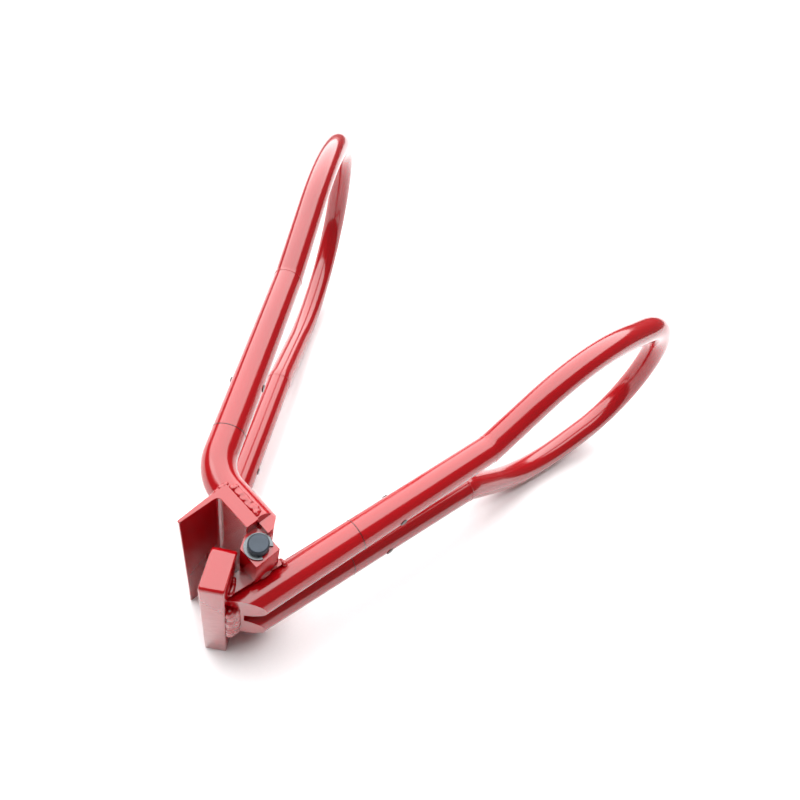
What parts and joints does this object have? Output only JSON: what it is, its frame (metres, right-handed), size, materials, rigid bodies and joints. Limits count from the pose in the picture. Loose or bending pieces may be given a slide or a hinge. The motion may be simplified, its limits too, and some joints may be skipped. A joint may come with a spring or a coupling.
{
  "type": "hand seaming tongs",
  "caption": "Two-lever seaming tongs: an angle jaw and a block jaw face each other across one pivot pin, each on a closed loop handle of round tube.",
  "frame": {"origin": "on the pivot axis, at the middle of the jaws' length", "axes": "+X along the block jaw's handle, +Z along the pivot pin; the tool is the same above and below z = 0, but for the block jaw, which is 11 mm shorter at its top"},
  "size_m": [0.4567, 0.3632, 0.194],
  "materials": {
    "red_enamel": "gloss red enamel over welded steel",
    "pin_steel": "turned end, dull blue-grey",
    "spring_steel": "bright zinc plate",
    "painted_pin": "red enamel, dark in the joint"
  },
  "bodies": {
    "angle_arm": {"angle_jaw": "red_enamel", "stub_a_upper": "red_enamel", "stub_a_lower": "red_enamel", "loop_handle_a": "red_enamel", "cross_pins_a": "painted_pin", "outer_knuckle_upper": "red_enamel", "outer_knuckle_lower": "red_enamel", "weld_angle_upper": "red_enamel", "weld_angle_lower": "red_enamel", "weld_corner_upper": "red_enamel", "weld_corner_lower": "red_enamel", "pivot_pin": "pin_steel", "retaining_rings": "spring_steel"},
    "block_arm": {"block_jaw": "red_enamel", "middle_knuckle": "red_enamel", "gusset": "red_enamel", "stub_b_upper": "red_enamel", "stub_b_lower": "red_enamel", "loop_handle_b": "red_enamel", "cross_pins_b": "painted_pin", "weld_front": "red_enamel", "weld_block_upper": "red_enamel", "weld_block_lower": "red_enamel", "weld_knuckle_upper": "red_enamel", "weld_knuckle_lower": "red_enamel"}
  },
  "joints": [
    {"name": "pivot", "type": "hinge", "parent": "angle_arm", "child": "block_arm", "pos_m": [0, 0, 0], "axis": [0, 0, 1], "range_deg": [-40.5, 46]}
  ]
}
